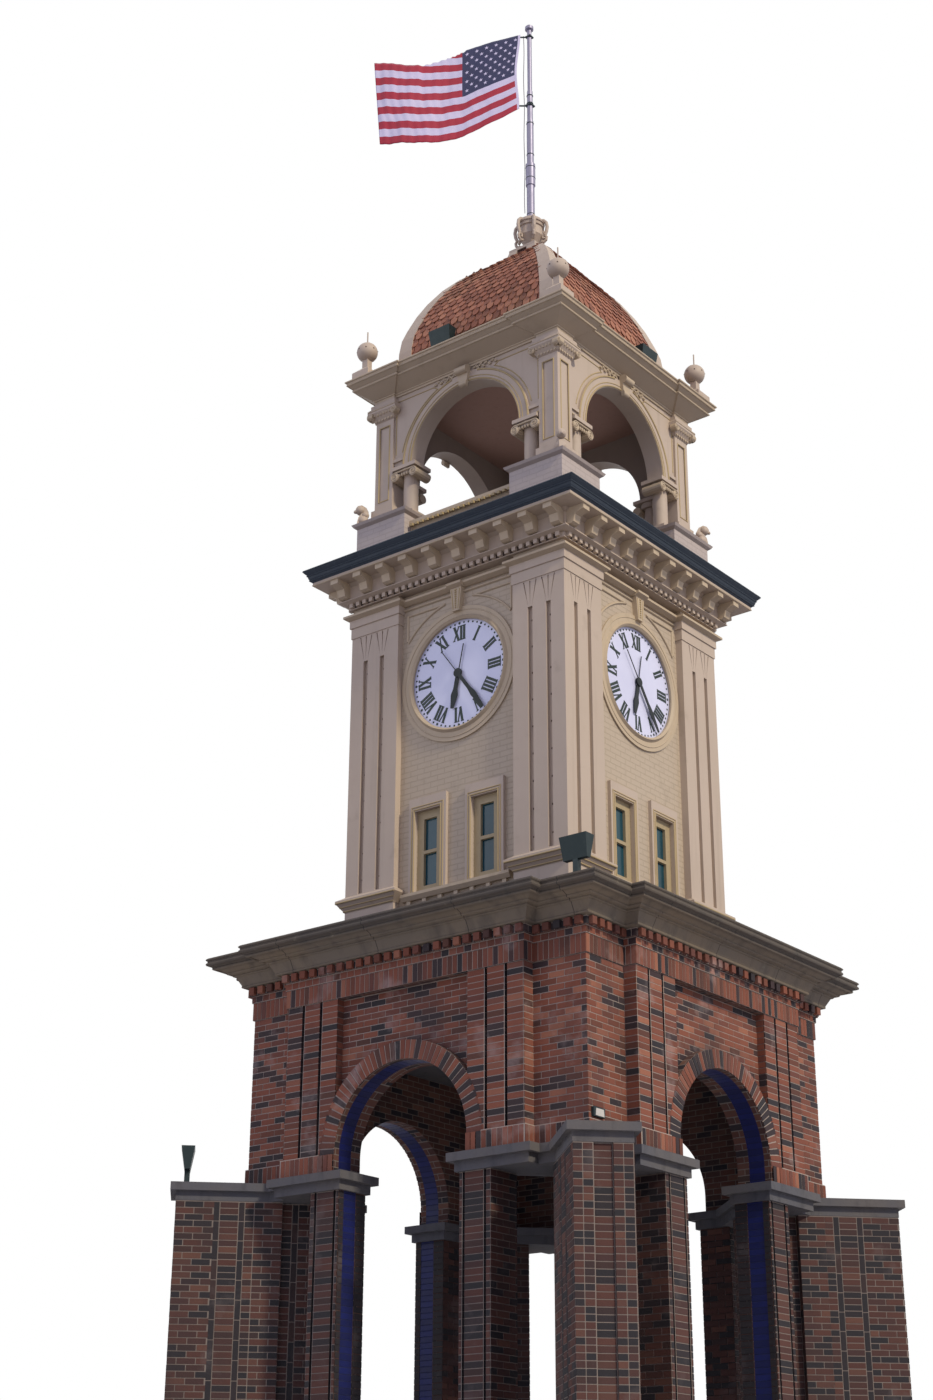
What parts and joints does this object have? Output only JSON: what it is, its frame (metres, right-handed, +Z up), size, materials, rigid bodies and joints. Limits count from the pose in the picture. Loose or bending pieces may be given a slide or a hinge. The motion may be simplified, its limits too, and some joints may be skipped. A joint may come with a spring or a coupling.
{
  "type": "clock tower",
  "caption": "Brick clock tower on arched piers with diagonal wings, a stone clock stage with turning hands on every face, an open belfry, a square dome and a flag.",
  "frame": {"origin": "on the tower's axis at ground level", "axes": "+Z up, -Y front, +X right"},
  "size_m": [6.3046, 6.3046, 22.274],
  "materials": {
    "brick": "rough red-brown brick in cement mortar",
    "concrete": "rough cast concrete",
    "blue_glaze": "glossy blue glazed tile",
    "buff_stone": "matt painted stone and render",
    "white_paint": "white gloss paint",
    "window_pane": "dark window glass",
    "dial_white": "white enamelled dial",
    "black_metal": "satin black paint",
    "green_metal": "dark green paint",
    "red_plaster": "red-brown painted plaster",
    "dome_sheet": "matt red-brown scale tiles",
    "cream_render": "matt cream render",
    "pole_paint": "white gloss paint",
    "flag_cloth": "woven flag cloth"
  },
  "bodies": {
    "tower": {"wing_piers": "brick", "jamb_piers": "brick", "brick_walls": "brick", "arch_rings": "brick", "impost_caps": "concrete", "arcade_ceiling": "concrete", "clock_deck": "concrete", "belfry_floor": "concrete", "blue_tile_strips": "blue_glaze", "brick_cornice": "buff_stone", "clock_walls": "buff_stone", "clock_pilasters": "buff_stone", "sill_bands": "buff_stone", "window_surrounds": "buff_stone", "clock_entablature": "buff_stone", "clock_cornice": "buff_stone", "cornice_brackets": "buff_stone", "belfry_pedestals": "buff_stone", "belfry_parapets": "buff_stone", "belfry_piers": "buff_stone", "belfry_columns": "buff_stone", "belfry_arch_walls": "buff_stone", "belfry_keystones": "buff_stone", "belfry_cornice": "buff_stone", "dial_rings": "buff_stone", "dial_keystones": "buff_stone", "corner_scrolls": "buff_stone", "window_frames": "white_paint", "window_glass": "window_pane", "dials": "dial_white", "floodlights": "black_metal", "flag_clips": "black_metal", "gutter": "green_metal", "belfry_ceiling": "red_plaster", "dome": "dome_sheet", "hip_ribs": "cream_render", "dome_platform": "cream_render", "roof_urn": "cream_render", "ball_finials": "cream_render", "flagpole": "pole_paint", "flag": "flag_cloth"},
    "front_minute_hand": {"front_minute_hand": "black_metal"},
    "front_hour_hand": {"front_hour_hand": "black_metal"},
    "right_minute_hand": {"right_minute_hand": "black_metal"},
    "right_hour_hand": {"right_hour_hand": "black_metal"},
    "back_minute_hand": {"back_minute_hand": "black_metal"},
    "back_hour_hand": {"back_hour_hand": "black_metal"},
    "left_minute_hand": {"left_minute_hand": "black_metal"},
    "left_hour_hand": {"left_hour_hand": "black_metal"}
  },
  "joints": [
    {"name": "front_minute_turn", "type": "hinge", "parent": "tower", "child": "front_minute_hand", "pos_m": [0, -1.54, 11.644], "axis": [0, 1, 0], "continuous": true},
    {"name": "front_hour_turn", "type": "hinge", "parent": "tower", "child": "front_hour_hand", "pos_m": [0, -1.522, 11.644], "axis": [0, 1, 0], "continuous": true},
    {"name": "right_minute_turn", "type": "hinge", "parent": "tower", "child": "right_minute_hand", "pos_m": [1.54, 0, 11.644], "axis": [-1, 0, 0], "continuous": true},
    {"name": "right_hour_turn", "type": "hinge", "parent": "tower", "child": "right_hour_hand", "pos_m": [1.522, 0, 11.644], "axis": [-1, 0, 0], "continuous": true},
    {"name": "back_minute_turn", "type": "hinge", "parent": "tower", "child": "back_minute_hand", "pos_m": [0, 1.54, 11.644], "axis": [0, -1, 0], "continuous": true},
    {"name": "back_hour_turn", "type": "hinge", "parent": "tower", "child": "back_hour_hand", "pos_m": [0, 1.522, 11.644], "axis": [0, -1, 0], "continuous": true},
    {"name": "left_minute_turn", "type": "hinge", "parent": "tower", "child": "left_minute_hand", "pos_m": [-1.54, 0, 11.644], "axis": [1, 0, 0], "continuous": true},
    {"name": "left_hour_turn", "type": "hinge", "parent": "tower", "child": "left_hour_hand", "pos_m": [-1.522, 0, 11.644], "axis": [1, 0, 0], "continuous": true}
  ],
  "couplings": [
    {"joint": "front_hour_turn", "follows": "front_minute_turn", "ratio": 0.083333},
    {"joint": "right_minute_turn", "follows": "front_minute_turn", "ratio": 1},
    {"joint": "right_hour_turn", "follows": "front_minute_turn", "ratio": 0.083333},
    {"joint": "back_minute_turn", "follows": "front_minute_turn", "ratio": 1},
    {"joint": "back_hour_turn", "follows": "front_minute_turn", "ratio": 0.083333},
    {"joint": "left_minute_turn", "follows": "front_minute_turn", "ratio": 1},
    {"joint": "left_hour_turn", "follows": "front_minute_turn", "ratio": 0.083333}
  ]
}
